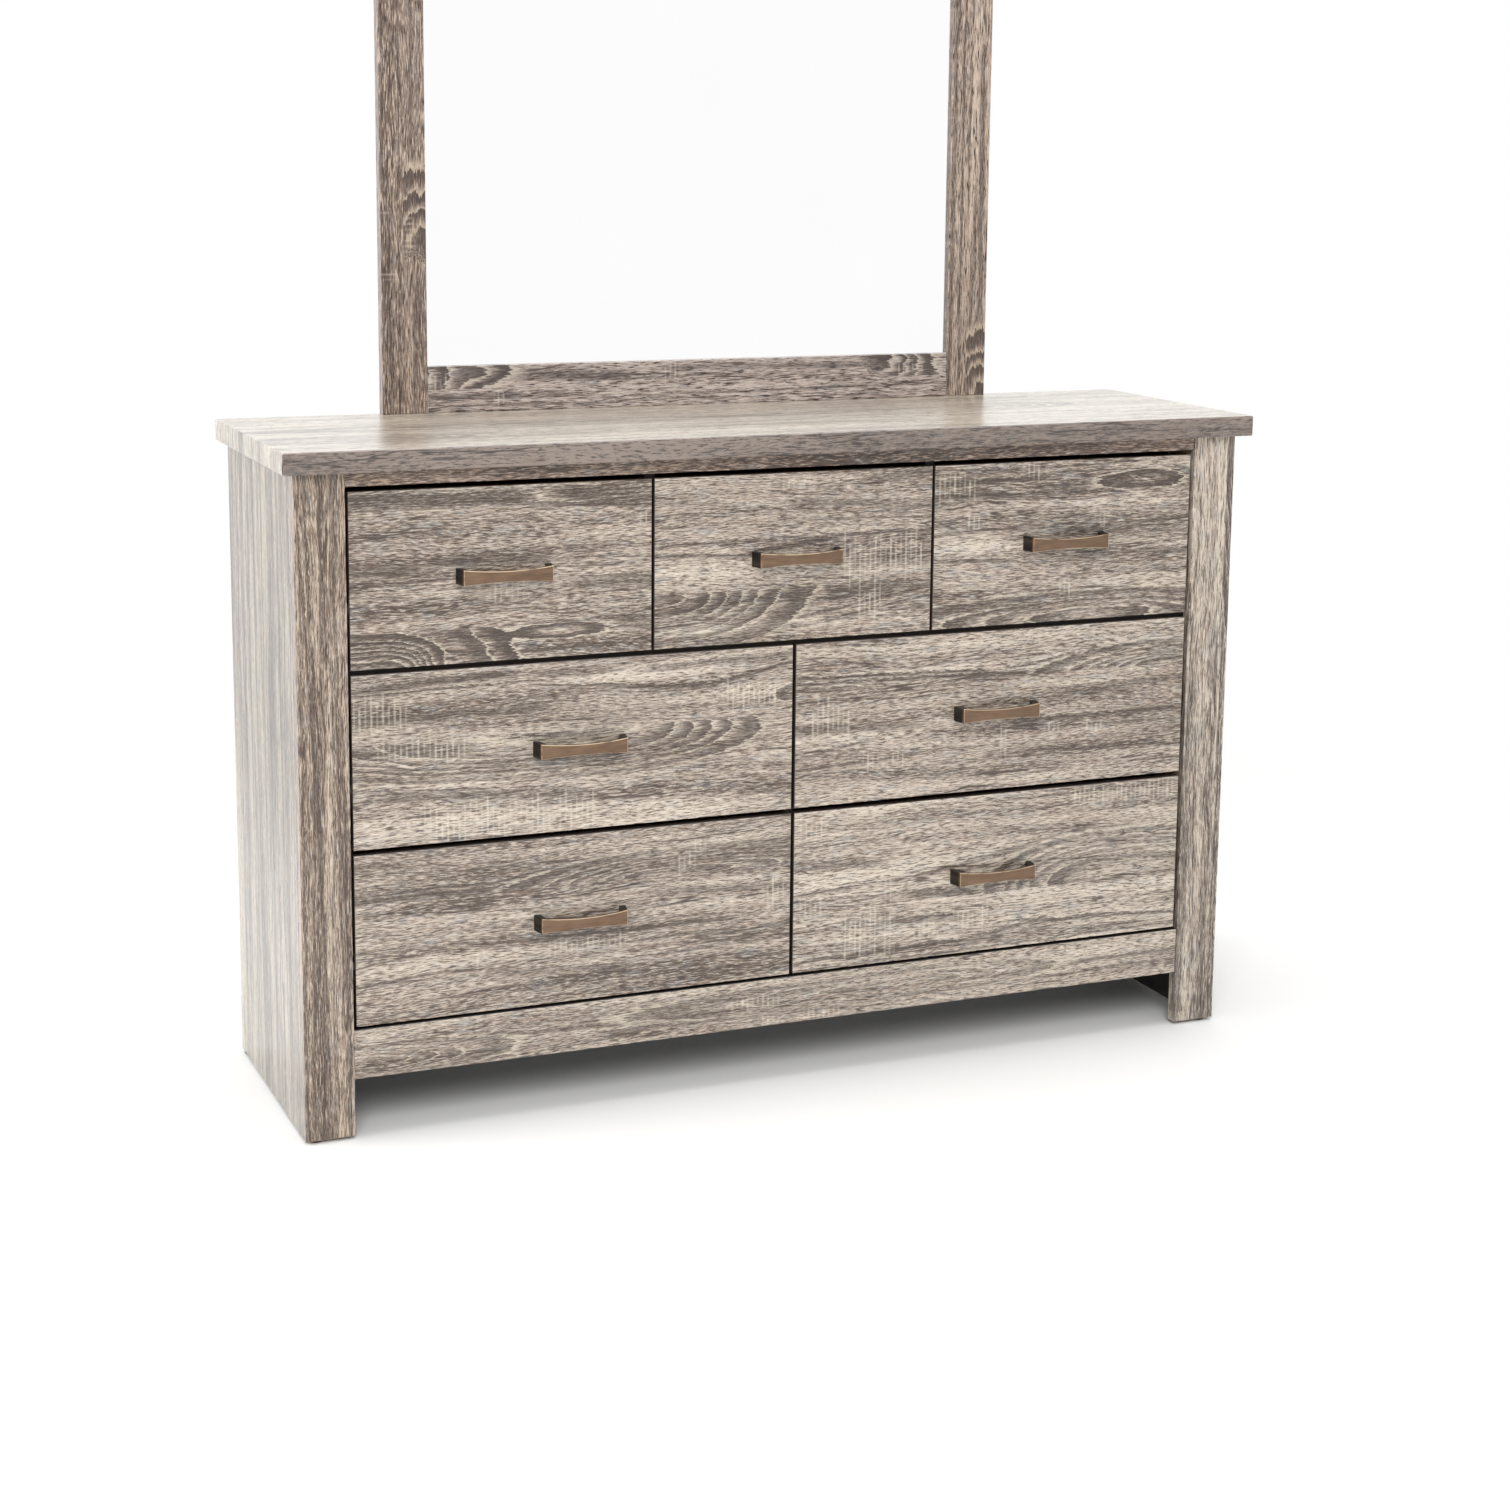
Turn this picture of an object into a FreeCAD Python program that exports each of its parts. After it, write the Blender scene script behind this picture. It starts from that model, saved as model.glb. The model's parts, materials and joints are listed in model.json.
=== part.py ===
import FreeCAD, Part
import math
import os
from FreeCAD import Vector

# A dresser of seven drawers that carries a framed mirror on its top.
# Sizes are in millimetres. X runs across the front, Y from front to back, Z up from the floor.

# Top slab
top_width = 1500.0
top_depth = 435.5
top_thickness = 30.5
top_side_overhang = 18.0
top_front_overhang = 21.0
top_easing = 1.5

# Case
stile_height = 933.0
stile_width = 70.5
stile_thickness = 18.5
side_thickness = 18.0
panel_thickness = 15.0
rail_thickness = 18.0
rail_recess = 2.6
toe_height = 81.5
bottom_rail_height = 71.5
top_rail_height = 21.0
rear_rail_height = 70.0
case_bottom_drop = 12.0
post_depth = 60.0
back_thickness = 3.2
back_rebate = 8.0
back_fit = 0.5
seam_chamfer = 0.8
edge_chamfer = 0.8

# Feet
glide_diameter = 19.0
glide_height = 5.0
glide_chamfer = 1.5
glide_front_inset = 15.0
glide_rear_inset = 15.0
front_glide_side_inset = 17.0
rear_glide_side_inset = 10.0

# Drawer fronts
front_thickness = 15.0
front_recess = 5.0
side_gap = 4.5
upper_column_gap = 3.5
lower_column_gap = 4.5
bottom_gap = 3.0
row_gap = 7.0
top_gap = 7.0

# Drawer boxes
box_rear_room = 36.3
box_height = 175.0
box_lift = 22.0
box_side_thickness = 12.0
box_back_thickness = 12.0
box_back_drop = 6.0
bottom_thickness = 3.2
bottom_height = 12.0
groove_depth = 6.0
groove_fit = 0.3
groove_end_fit = 0.5

# Drawer runners
runner_space = 12.7
runner_setback = 2.0
runner_end_room = 3.0
runner_height = 60.0
channel_height = 35.0
channel_depth = 10.5
channel_lip = 5.0
runner_metal = 1.2
running_clearance = 0.3
drawer_travel = 260.0
lug_thickness = 1.5
lug_height = 12.0
lug_setback = 3.0
lug_overlap = 2.0

# Pulls
pull_hole_spacing = 128.0
pull_leg = 9.0
pull_flare = 4.5
pull_end_projection = 24.5
pull_bow = 4.5
pull_bar_thickness = 5.0
pull_end_height = 22.0
pull_waist_height = 15.0
pull_chamfer = 0.8
pull_groove_count = 4
pull_groove_width = 1.8
pull_groove_depth = 0.5
pull_screw_diameter = 4.0
pull_screw_head_width = 7.0
pull_screw_head_height = 2.4
pull_thread_depth = 7.0
screw_fit = 0.2
screw_tip_room = 1.0

# Mirror
mirror_width = 1006.0
mirror_height = 900.0
mirror_stile_width = 69.0
mirror_rail_height = 70.0
mirror_thickness = 20.0
mirror_lip = 8.0
mirror_rebate = 8.0
glass_thickness = 4.0
glass_fit = 1.0
backing_thickness = 3.2

# Mirror supports behind the case
support_width = 50.0
support_thickness = 18.0
support_drop = 400.0
support_rise = 600.0
support_end_chamfer = 6.0

# Depth of the whole, centred on Y = 0
pull_projection = pull_end_projection + pull_bow
front_reach = max(top_front_overhang, pull_projection - front_recess)
case_depth = top_depth - top_front_overhang
rear_reach = case_depth + support_thickness

# Planes across the depth
face = (front_reach - rear_reach) / 2
stile_back = face + stile_thickness
rail_face = face + rail_recess
rail_back = rail_face + rail_thickness
drawer_face = face + front_recess
drawer_back = drawer_face + front_thickness
case_back = face + case_depth
panel_back = case_back - back_thickness
rear_rail_face = panel_back - rail_thickness
box_back = panel_back - box_rear_room
support_back = case_back + support_thickness
mirror_face = case_back - mirror_thickness
glass_face = mirror_face + mirror_lip

# Levels
base = glide_height
case_top = base + stile_height
top_surface = case_top + top_thickness
rail_low = base + toe_height
rail_high = rail_low + bottom_rail_height
top_rail_low = case_top - top_rail_height
floor_high = rail_high - case_bottom_drop
floor_low = floor_high - panel_thickness
mirror_top = top_surface + mirror_height

# Distances from the middle plane
half_case = top_width / 2 - top_side_overhang
side_inner = half_case - side_thickness
opening = half_case - stile_width
mirror_half = mirror_width / 2
mirror_inner = mirror_half - mirror_stile_width
support_middle = mirror_half - (mirror_stile_width - mirror_rebate) / 2

# Rows of drawers from the lowest up: name, column names and gap between columns
lower_columns = ("left", "right")
upper_columns = ("left", "center", "right")
rows = (
    ("lower", lower_columns, lower_column_gap),
    ("middle", lower_columns, lower_column_gap),
    ("upper", upper_columns, upper_column_gap),
)
front_height = (top_rail_low - rail_high - bottom_gap - top_gap - (len(rows) - 1) * row_gap) / len(rows)


def row_low(row):
    return rail_high + bottom_gap + row * (front_height + row_gap)


def front_width(columns, gap):
    return (2 * (opening - side_gap) - (columns - 1) * gap) / columns


def divider_centers(columns, gap):
    pitch = front_width(columns, gap) + gap
    first = -opening + side_gap + pitch - gap / 2
    return [first + index * pitch for index in range(columns - 1)]


deck_middle = row_low(len(rows) - 1) - row_gap / 2
deck_low = deck_middle - panel_thickness / 2
deck_high = deck_middle + panel_thickness / 2
center_divider = divider_centers(len(lower_columns), lower_column_gap)[0]
upper_dividers = divider_centers(len(upper_columns), upper_column_gap)


# Shape helpers
def box(x_span, y_span, z_span):
    size = [high - low for low, high in (x_span, y_span, z_span)]
    return Part.makeBox(*size, Vector(x_span[0], y_span[0], z_span[0]))


def mirrored(shape):
    return shape.mirror(Vector(0, 0, 0), Vector(1, 0, 0))


def cut(shape, *tools):
    return shape.cut(tools).Solids[0]


def prism(points, direction):
    outline = Part.makePolygon([*points, points[0]])
    return Part.Face(outline).extrude(direction)


def cylinder_y(radius, x, z, y_from, y_to):
    return Part.makeCylinder(radius, y_to - y_from, Vector(x, y_from, z), Vector(0, 1, 0))


def chamfered(shape, width, chosen):
    return shape.makeChamfer(width, [edge for edge in shape.Edges if chosen(edge)])


def front_chamfered(shape):
    # The edges round the face that looks to the front.
    front = shape.BoundBox.YMin + edge_chamfer / 2
    return chamfered(shape, edge_chamfer, lambda edge: edge.CenterOfMass.y < front)


def write(name, *solids):
    shape = solids[0] if len(solids) == 1 else Part.makeCompound(list(solids))
    shape.exportStep("parts/" + name + ".step")


# Top and case
def top_panel():
    slab = box((-top_width / 2, top_width / 2), (case_back - top_depth, case_back), (case_top, top_surface))
    return slab.makeChamfer(top_easing, slab.Edges)


def seam_edge(edge):
    # The upright edge on the outer side of the case where stile and side panel meet.
    middle = edge.CenterOfMass
    return Vector(middle.x, middle.y, 0).isEqual(Vector(-half_case, stile_back, 0), seam_chamfer / 4)


def face_edge(edge):
    # The edges round a stile's face, apart from the one under the slab.
    middle = edge.CenterOfMass
    return middle.y < face + edge_chamfer / 2 and middle.z < case_top - edge_chamfer / 2


def left_stile():
    stile = box((-half_case, -opening), (face, stile_back), (base, case_top))
    return chamfered(chamfered(stile, edge_chamfer, face_edge), seam_chamfer, seam_edge)


def left_side_panel():
    panel = box((-half_case, -side_inner), (stile_back, case_back), (base, case_top))
    rebate = box((-side_inner - back_rebate, -side_inner), (panel_back, case_back), (base, case_top))
    return chamfered(cut(panel, rebate), seam_chamfer, seam_edge)


def front_rail(low, high):
    return front_chamfered(box((-opening, opening), (rail_face, rail_back), (low, high)))


def rear_top_rail():
    return box((-opening, opening), (rear_rail_face, panel_back), (case_top - rear_rail_height, case_top))


def rear_bottom_rail():
    return box((-side_inner, side_inner), (rear_rail_face, panel_back), (rail_low, floor_low))


def drawer_deck():
    return box((-side_inner, side_inner), (rail_back, panel_back), (deck_low, deck_high))


def case_bottom():
    return box((-side_inner, side_inner), (rail_back, panel_back), (floor_low, floor_high))


def partition(middle, low, high):
    span = (middle - panel_thickness / 2, middle + panel_thickness / 2)
    return box(span, (rail_back, panel_back), (low, high))


def upper_partition(middle):
    # Notched round the rear top rail.
    return cut(partition(middle, deck_high, case_top), rear_top_rail())


def back_panel():
    reach = side_inner + back_rebate - back_fit
    return box((-reach, reach), (panel_back, case_back), (rail_low, case_top))


def corner_posts():
    # Packing behind the stiles and before the back, which brings the runners in line with the opening.
    posts = []
    for y_span in ((stile_back, stile_back + post_depth), (panel_back - post_depth, panel_back)):
        for z_span in ((floor_high, deck_low), (deck_high, case_top)):
            post = box((-side_inner, -opening), y_span, z_span)
            posts += [post, mirrored(post)]
    return posts


def foot_glide(x, y):
    radius = glide_diameter / 2
    disc = Part.makeCylinder(radius, glide_height, Vector(x, y, 0))
    return chamfered(disc, glide_chamfer, lambda edge: edge.BoundBox.ZMax < glide_height / 2)


def foot_glides():
    front = foot_glide(-half_case + front_glide_side_inset, face + glide_front_inset)
    rear = foot_glide(-half_case + rear_glide_side_inset, case_back - glide_rear_inset)
    return [front, rear, mirrored(front), mirrored(rear)]


# Runners: a lipped channel on the case holds the brims of a hat section on the drawer.
# A lug on the drawer part travels between two lugs on the case part and sets the drawer's stroke.
channel_half = channel_height / 2
hat_half = channel_half - channel_lip - running_clearance
brim_half = channel_half - runner_metal - running_clearance
brim_outer = channel_depth - runner_metal - running_clearance
brim_inner = brim_outer - runner_metal
crown_inner = runner_space - runner_metal
runner_front = drawer_back + runner_setback
runner_length = box_back - runner_end_room - runner_front
open_lug = runner_front + lug_setback
drawer_lug = open_lug + lug_thickness + drawer_travel + running_clearance
close_lug = drawer_lug + lug_thickness + running_clearance
lug_middle = (runner_metal + crown_inner) / 2


def runner_section(half_outline, wall, side, z):
    # The outline is given for the upper half as distance from the wall and height.
    outline = half_outline + [(away, -height) for away, height in reversed(half_outline)]
    points = [Vector(wall + side * away, runner_front, z + height) for away, height in outline]
    return prism(points, Vector(0, runner_length, 0))


def runner_lug(wall, side, z, away_span, y):
    x_span = sorted(wall + side * away for away in away_span)
    return box(x_span, (y, y + lug_thickness), (z - lug_height / 2, z + lug_height / 2))


def case_runner(wall, side, z):
    outline = [
        (runner_metal, channel_half - runner_metal),
        (channel_depth - runner_metal, channel_half - runner_metal),
        (channel_depth - runner_metal, channel_half - channel_lip),
        (channel_depth, channel_half - channel_lip),
        (channel_depth, channel_half),
        (0, channel_half),
    ]
    channel = runner_section(outline, wall, side, z)
    reach = (0, lug_middle + lug_overlap / 2)
    lugs = [runner_lug(wall, side, z, reach, y) for y in (open_lug, close_lug)]
    return channel.fuse(lugs).removeSplitter()


def drawer_runner(wall, side, z):
    outline = [
        (crown_inner, hat_half - runner_metal),
        (brim_inner, hat_half - runner_metal),
        (brim_inner, brim_half),
        (brim_outer, brim_half),
        (brim_outer, hat_half),
        (runner_space, hat_half),
    ]
    hat = runner_section(outline, wall, side, z)
    lug = runner_lug(wall, side, z, (lug_middle - lug_overlap / 2, runner_space), drawer_lug)
    return hat.fuse(lug).removeSplitter()


# Pull: a bowed bar, drawn in at the waist, on two ribbed legs that flare towards the drawer
def pull_leg_outline(base_half, end_half):
    # From the foot to the end of the bar, with the grooves between the ribs.
    foot = Vector(base_half, 0, 0)
    end = Vector(end_half, -pull_end_projection, 0)
    along = (end - foot).normalize()
    inward = Vector(along.y, -along.x, 0)
    pitch = (end - foot).Length / (pull_groove_count + 1)
    points = [foot]
    for index in range(pull_groove_count):
        start = foot + along * (pitch * (index + 1) - pull_groove_width / 2)
        finish = start + along * pull_groove_width
        points += [start, start + inward * pull_groove_depth, finish + inward * pull_groove_depth, finish]
    return [*points, end]


def pull_plan(base_half, end_half):
    leg = pull_leg_outline(base_half, end_half)
    bar_back = pull_end_projection - pull_bar_thickness
    inner = [Vector(end_half - pull_leg, -bar_back, 0), Vector(base_half - pull_leg, 0, 0)]
    right = [*inner, *leg]
    left = [Vector(-point.x, point.y, 0) for point in right]
    front_arc = Part.Arc(leg[-1], Vector(0, -pull_projection, 0), left[-1])
    back_arc = Part.Arc(left[0], Vector(0, -pull_projection + pull_bar_thickness, 0), inner[0])
    edges = [*Part.makePolygon(right).Edges, front_arc.toShape()]
    edges += [*Part.makePolygon(list(reversed(left))).Edges, back_arc.toShape()]
    outline = Part.Face(Part.Wire(edges))
    outline.translate(Vector(0, 0, -pull_end_height / 2))
    return outline.extrude(Vector(0, 0, pull_end_height))


def pull_elevation(base_half, end_half):
    high = pull_end_height / 2
    waist = pull_waist_height / 2
    corners = [
        Vector(end_half, 0, high),
        Vector(base_half, 0, high),
        Vector(base_half, 0, -high),
        Vector(end_half, 0, -high),
    ]
    across = [Vector(-point.x, 0, point.z) for point in reversed(corners)]
    under = Part.Arc(corners[-1], Vector(0, 0, -waist), across[0]).toShape()
    over = Part.Arc(across[-1], Vector(0, 0, waist), corners[0]).toShape()
    edges = [*Part.makePolygon(corners).Edges, under, *Part.makePolygon(across).Edges, over]
    return Part.Face(Part.Wire(edges)).extrude(Vector(0, -pull_projection, 0))


def bar_edge(edge):
    # The long edges of the bar's face.
    return edge.CenterOfMass.y < -pull_end_projection and edge.BoundBox.XLength > pull_hole_spacing / 2


def pull_body():
    base_half = pull_hole_spacing / 2 + pull_leg / 2
    end_half = base_half - pull_flare
    body = pull_plan(base_half, end_half).common(pull_elevation(base_half, end_half))
    body = chamfered(body.removeSplitter(), pull_chamfer, bar_edge)
    radius = pull_screw_diameter / 2 + screw_fit
    holes = [cylinder_y(radius, x, 0, -pull_thread_depth - screw_tip_room, 0) for x in pull_holes]
    return cut(body, *holes)


def pull_screw(x):
    # A machine screw with a hexagon head, put in from inside the drawer.
    shank = cylinder_y(pull_screw_diameter / 2, x, 0, -pull_thread_depth, front_thickness)
    corner = Vector(0, front_thickness, pull_screw_head_width / math.sqrt(3))
    turns = [FreeCAD.Rotation(Vector(0, 1, 0), 60 * index) for index in range(6)]
    hexagon = [turn.multVec(corner) + Vector(x, 0, 0) for turn in turns]
    head = prism(hexagon, Vector(0, pull_screw_head_height, 0))
    return shank.fuse(head).removeSplitter()


pull_holes = (-pull_hole_spacing / 2, pull_hole_spacing / 2)
pull_pieces = [pull_body(), *[pull_screw(x) for x in pull_holes]]


# Drawers
def drawer(name, x_front, z_front, walls):
    z_box = (z_front[0] + box_lift, z_front[0] + box_lift + box_height)
    x_outer = (walls[0] + runner_space, walls[1] - runner_space)
    x_inner = (x_outer[0] + box_side_thickness, x_outer[1] - box_side_thickness)
    y_box = (drawer_back, box_back)
    z_bottom = (z_box[0] + bottom_height, z_box[0] + bottom_height + bottom_thickness)
    middle = Vector(sum(x_front) / 2, drawer_face, sum(z_front) / 2)

    x_groove = (x_inner[0] - groove_depth, x_inner[1] + groove_depth)
    y_groove = (drawer_back - groove_depth, y_box[1])
    groove = box(x_groove, y_groove, (z_bottom[0], z_bottom[1] + groove_fit))
    hole_radius = pull_screw_diameter / 2 + screw_fit
    holes = [cylinder_y(hole_radius, middle.x + x, middle.z, drawer_face, drawer_back) for x in pull_holes]
    front = front_chamfered(box(x_front, (drawer_face, drawer_back), z_front))
    write(name + "_front", cut(front, groove, *holes))

    left = box((x_outer[0], x_inner[0]), y_box, z_box)
    right = box((x_inner[1], x_outer[1]), y_box, z_box)
    y_back = (y_box[1] - box_back_thickness, y_box[1])
    back = box(x_inner, y_back, (z_bottom[1], z_box[1] - box_back_drop))
    write(name + "_box", cut(left, groove), cut(right, groove), back)

    x_bottom = (x_groove[0] + groove_end_fit, x_groove[1] - groove_end_fit)
    y_bottom = (y_groove[0] + groove_end_fit, y_box[1])
    write(name + "_bottom", box(x_bottom, y_bottom, z_bottom))
    write(name + "_pull", *[piece.translated(middle) for piece in pull_pieces])

    z_runner = z_box[0] + runner_height
    write(name + "_runners", drawer_runner(walls[0], 1, z_runner), drawer_runner(walls[1], -1, z_runner))
    return [case_runner(walls[0], 1, z_runner), case_runner(walls[1], -1, z_runner)]


def drawers():
    runners = []
    for row, (row_name, columns, gap) in enumerate(rows):
        width = front_width(len(columns), gap)
        dividers = divider_centers(len(columns), gap)
        left_walls = [-opening, *[middle + panel_thickness / 2 for middle in dividers]]
        right_walls = [*[middle - panel_thickness / 2 for middle in dividers], opening]
        z_front = (row_low(row), row_low(row) + front_height)
        for column, column_name in enumerate(columns):
            x_low = -opening + side_gap + column * (width + gap)
            walls = (left_walls[column], right_walls[column])
            name = row_name + "_" + column_name + "_drawer"
            runners += drawer(name, (x_low, x_low + width), z_front, walls)
    return runners


# Mirror
rail_tops = (top_surface + mirror_rail_height, mirror_top - mirror_rail_height)
pocket_half = mirror_inner + mirror_rebate
pocket_levels = (rail_tops[0] - mirror_rebate, rail_tops[1] + mirror_rebate)
mirror_pocket = box((-pocket_half, pocket_half), (glass_face, case_back), pocket_levels)


def mirror_left_stile():
    stile = box((-mirror_half, -mirror_inner), (mirror_face, case_back), (top_surface, mirror_top))
    return cut(front_chamfered(stile), mirror_pocket)


def mirror_rail(low, high):
    rail = box((-mirror_inner, mirror_inner), (mirror_face, case_back), (low, high))
    return cut(front_chamfered(rail), mirror_pocket)


def mirror_sheet(y_low, thickness):
    half = pocket_half - glass_fit
    levels = (pocket_levels[0] + glass_fit, pocket_levels[1] - glass_fit)
    return box((-half, half), (y_low, y_low + thickness), levels)


def through_edge(edge):
    # An edge that runs from front to back.
    return edge.BoundBox.YLength > support_thickness / 2


def mirror_support():
    span = (-support_middle - support_width / 2, -support_middle + support_width / 2)
    post = box(span, (case_back, support_back), (top_surface - support_drop, top_surface + support_rise))
    return chamfered(post, support_end_chamfer, through_edge)


os.makedirs("parts", exist_ok=True)

left_parts = {
    "stile": left_stile(),
    "side_panel": left_side_panel(),
}
for part_name, part in left_parts.items():
    write("left_" + part_name, part)
    write("right_" + part_name, mirrored(part))

write("top_panel", top_panel())
write("top_rail", front_rail(top_rail_low, case_top))
write("bottom_rail", front_rail(rail_low, rail_high))
write("rear_top_rail", rear_top_rail())
write("rear_bottom_rail", rear_bottom_rail())
write("case_bottom", case_bottom())
write("drawer_deck", drawer_deck())
write("center_partition", partition(center_divider, floor_high, deck_low))
write("upper_partitions", *[upper_partition(middle) for middle in upper_dividers])
write("back_panel", back_panel())
write("corner_posts", *corner_posts())
write("foot_glides", *foot_glides())
write("case_runners", *drawers())

mirror_stile = mirror_left_stile()
support = mirror_support()
write("mirror_left_stile", mirror_stile)
write("mirror_right_stile", mirrored(mirror_stile))
write("mirror_bottom_rail", mirror_rail(top_surface, rail_tops[0]))
write("mirror_top_rail", mirror_rail(rail_tops[1], mirror_top))
write("mirror_glass", mirror_sheet(glass_face, glass_thickness))
write("mirror_backing", mirror_sheet(glass_face + glass_thickness, backing_thickness))
write("mirror_supports", support, mirrored(support))
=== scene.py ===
import json
import math

import bmesh
import bpy
from mathutils import Matrix, Vector

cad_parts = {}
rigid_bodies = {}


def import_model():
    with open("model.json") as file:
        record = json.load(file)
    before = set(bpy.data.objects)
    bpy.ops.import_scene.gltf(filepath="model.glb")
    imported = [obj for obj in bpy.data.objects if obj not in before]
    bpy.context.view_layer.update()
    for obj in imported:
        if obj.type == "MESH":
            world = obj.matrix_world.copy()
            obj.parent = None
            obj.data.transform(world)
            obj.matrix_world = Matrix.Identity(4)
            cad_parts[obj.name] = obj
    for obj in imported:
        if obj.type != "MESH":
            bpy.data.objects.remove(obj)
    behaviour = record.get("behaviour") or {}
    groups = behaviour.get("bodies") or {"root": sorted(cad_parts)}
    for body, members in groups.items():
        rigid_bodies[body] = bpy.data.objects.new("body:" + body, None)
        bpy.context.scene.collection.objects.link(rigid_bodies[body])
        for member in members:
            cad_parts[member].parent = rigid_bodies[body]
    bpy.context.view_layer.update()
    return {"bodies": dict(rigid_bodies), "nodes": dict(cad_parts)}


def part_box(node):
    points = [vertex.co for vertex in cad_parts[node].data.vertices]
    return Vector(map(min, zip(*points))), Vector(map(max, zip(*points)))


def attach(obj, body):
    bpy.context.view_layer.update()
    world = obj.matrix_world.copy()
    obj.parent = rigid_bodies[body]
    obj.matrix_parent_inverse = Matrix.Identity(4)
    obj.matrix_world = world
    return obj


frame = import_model()
nodes = frame["nodes"]
drawers = sorted(body for body in frame["bodies"] if body != "case")
print("frame loaded:", len(nodes), "nodes,", len(drawers), "drawers")


def paint(red, green, blue):  # a screen colour, 0 to 255, as linear light
    shares = [value / 255 for value in (red, green, blue)]
    lights = [share / 12.92 if share < 0.04 else ((share + 0.055) / 1.055) ** 2.4 for share in shares]
    return (*lights, 1.0)


def boxOf(nodeName):  # a node's lowest and highest corner, in millimetres
    low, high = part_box(nodeName)
    return low * 1000, high * 1000


def middleOf(nodeName):
    low, high = boxOf(nodeName)
    return (low + high) / 2


def frontMiddle(nodeName):  # the middle of a node's front, in metres
    low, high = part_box(nodeName)
    return (low.x + high.x) / 2, low.y, (low.z + high.z) / 2


class Val:  # one socket that takes part in sums
    def __init__(self, finish, socket):
        self.finish = finish
        self.socket = socket

    def calc(self, operation, *others):
        return self.finish.maths(operation, self, *others)

    def __add__(self, other):
        return self.calc("ADD", other)

    def __radd__(self, other):
        return self.finish.maths("ADD", other, self)

    def __sub__(self, other):
        return self.calc("SUBTRACT", other)

    def __rsub__(self, other):
        return self.finish.maths("SUBTRACT", other, self)

    def __mul__(self, other):
        return self.calc("MULTIPLY", other)

    def __rmul__(self, other):
        return self.finish.maths("MULTIPLY", other, self)

    def __truediv__(self, other):
        return self.calc("DIVIDE", other)

    def __rtruediv__(self, other):
        return self.finish.maths("DIVIDE", other, self)

    def __pow__(self, other):
        return self.calc("POWER", other)

    def __rpow__(self, other):
        return self.finish.maths("POWER", other, self)

    def __gt__(self, other):
        return self.calc("GREATER_THAN", other)

    def __lt__(self, other):  # also what a number > value asks for
        return self.calc("LESS_THAN", other)

    def __neg__(self):
        return self.calc("MULTIPLY", -1.0)

    def __abs__(self):
        return self.calc("ABSOLUTE")


class Finish:  # a material or world and the nodes that make it
    def __init__(self, owner):
        owner.use_nodes = True
        self.owner = owner
        self.nodes = owner.node_tree.nodes
        self.links = owner.node_tree.links
        self.nodes.clear()

    def add(self, kind, settings, inputs, out=0):  # out says which outputs come back
        node = self.nodes.new(kind)
        for key, value in settings.items():
            if key == "stops":
                self.setStops(node.color_ramp, value)
            else:
                setattr(node, key, value)
        for key, value in inputs.items():
            if isinstance(value, Val):
                self.links.new(value.socket, node.inputs[key])
            else:
                node.inputs[key].default_value = value
        if isinstance(out, tuple):
            return [Val(self, node.outputs[key]) for key in out]
        return Val(self, node.outputs[out])

    def setStops(self, ramp, stops):
        while len(ramp.elements) < len(stops):
            ramp.elements.new(1.0)
        for element, (place, colour) in zip(ramp.elements, stops):
            element.position = place
            element.color = colour

    def maths(self, operation, *values):
        return self.add("ShaderNodeMath", {"operation": operation}, dict(enumerate(values)))

    def vector(self, operation, *values):
        return self.add("ShaderNodeVectorMath", {"operation": operation}, dict(enumerate(values)))

    def parts(self, vector):
        return self.add("ShaderNodeSeparateXYZ", {}, {"Vector": vector}, out=("X", "Y", "Z"))

    def join(self, x, y, z):
        return self.add("ShaderNodeCombineXYZ", {}, {"X": x, "Y": y, "Z": z})

    def place(self, origin):  # millimetres from a point that is given in metres
        spot = self.add("ShaderNodeTexCoord", {}, {}, out="Object")
        spot = self.vector("SUBTRACT", spot, origin)
        return self.parts(self.vector("MULTIPLY", spot, (1000, 1000, 1000)))

    def facing(self):  # the way the surface faces
        return self.parts(self.add("ShaderNodeTexCoord", {}, {}, out="Normal"))

    def fade(self, value, low, high, ease="SMOOTHSTEP"):  # 0 at low, 1 at high
        inputs = {"Value": value, "From Min": low, "From Max": high}
        return self.add("ShaderNodeMapRange", {"interpolation_type": ease}, inputs)

    def most(self, values):  # the highest of some values, 0 where there are none
        highest = 0.0
        for value in values:
            highest = value.calc("MAXIMUM", highest)
        return highest

    def noise(self, size, along, across, layer, detail=2.0, rough=0.55):  # size along and across
        spot = self.join(along / size[0], across / size[1], layer)
        inputs = {"Vector": spot, "Scale": 1.0, "Detail": detail, "Roughness": rough}
        return self.add("ShaderNodeTexNoise", {}, inputs)

    def chance(self, number):  # three random values that belong to a number
        settings = {"noise_dimensions": "1D"}
        hue = self.add("ShaderNodeTexWhiteNoise", settings, {"W": number}, out="Color")
        return self.add("ShaderNodeSeparateColor", {}, {"Color": hue}, out=("Red", "Green", "Blue"))

    def mix(self, base, top, share, blend="MIX"):  # inputs 6 and 7 and output 2 are its colours
        settings = {"data_type": "RGBA", "blend_type": blend}
        return self.add("ShaderNodeMix", settings, {0: share, 6: base, 7: top}, out=2)

    def ramp(self, value, stops):
        return self.add("ShaderNodeValToRGB", {"stops": stops}, {"Fac": value})

    def bump(self, height, strength, distance):
        inputs = {"Strength": strength, "Distance": distance, "Height": height}
        return self.add("ShaderNodeBump", {}, inputs)

    def surface(self, inputs):
        shader = self.add("ShaderNodeBsdfPrincipled", {}, inputs)
        self.add("ShaderNodeOutputMaterial", {}, {"Surface": shader}, out=())
        return self.owner


def newFinish(name):
    return Finish(bpy.data.materials.new(name))


def dress(nodeName, material):
    mesh = nodes[nodeName].data
    mesh.materials.clear()
    mesh.materials.append(material)


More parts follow.
